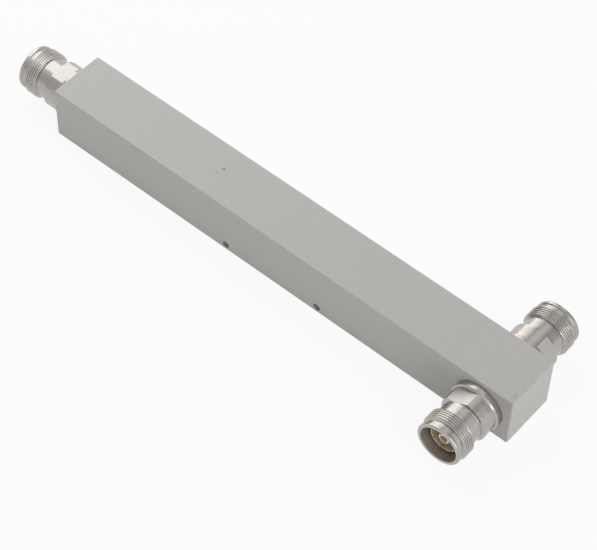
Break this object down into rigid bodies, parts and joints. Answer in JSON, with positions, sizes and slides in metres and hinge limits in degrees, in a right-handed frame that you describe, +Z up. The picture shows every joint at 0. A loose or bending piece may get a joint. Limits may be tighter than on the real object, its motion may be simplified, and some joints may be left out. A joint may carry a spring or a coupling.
{
  "type": "cavity power splitter",
  "caption": "Coaxial cavity power splitter: a painted square bar with an input connector on one end and opposed output connectors near the closed end.",
  "frame": {"origin": "middle of the flat bottom face of the housing, under the middle between the two fixing holes", "axes": "+X along the bar from the input to the closed end, +Y from the front output to the rear output, +Z up from the bottom face"},
  "size_m": [0.251, 0.073, 0.025],
  "materials": {
    "housing_paint": "matte",
    "conductor_metal": "satin",
    "insulator_plastic": "matte",
    "shell_plating": "polished",
    "contact_plating": "polished",
    "seal_rubber": "matte"
  },
  "bodies": {
    "root": {"housing": "housing_paint", "inner_conductor": "conductor_metal", "support_bead_input": "insulator_plastic", "support_bead_middle": "insulator_plastic", "support_bead_output": "insulator_plastic", "input_shell": "shell_plating", "input_outer_contact": "contact_plating", "input_insulator": "insulator_plastic", "input_centre_contact": "contact_plating", "input_seal_ring": "seal_rubber", "front_output_shell": "shell_plating", "front_output_outer_contact": "contact_plating", "front_output_insulator": "insulator_plastic", "front_output_centre_contact": "contact_plating", "front_output_seal_ring": "seal_rubber", "rear_output_shell": "shell_plating", "rear_output_outer_contact": "contact_plating", "rear_output_insulator": "insulator_plastic", "rear_output_centre_contact": "contact_plating", "rear_output_seal_ring": "seal_rubber"}
  },
  "joints": []
}
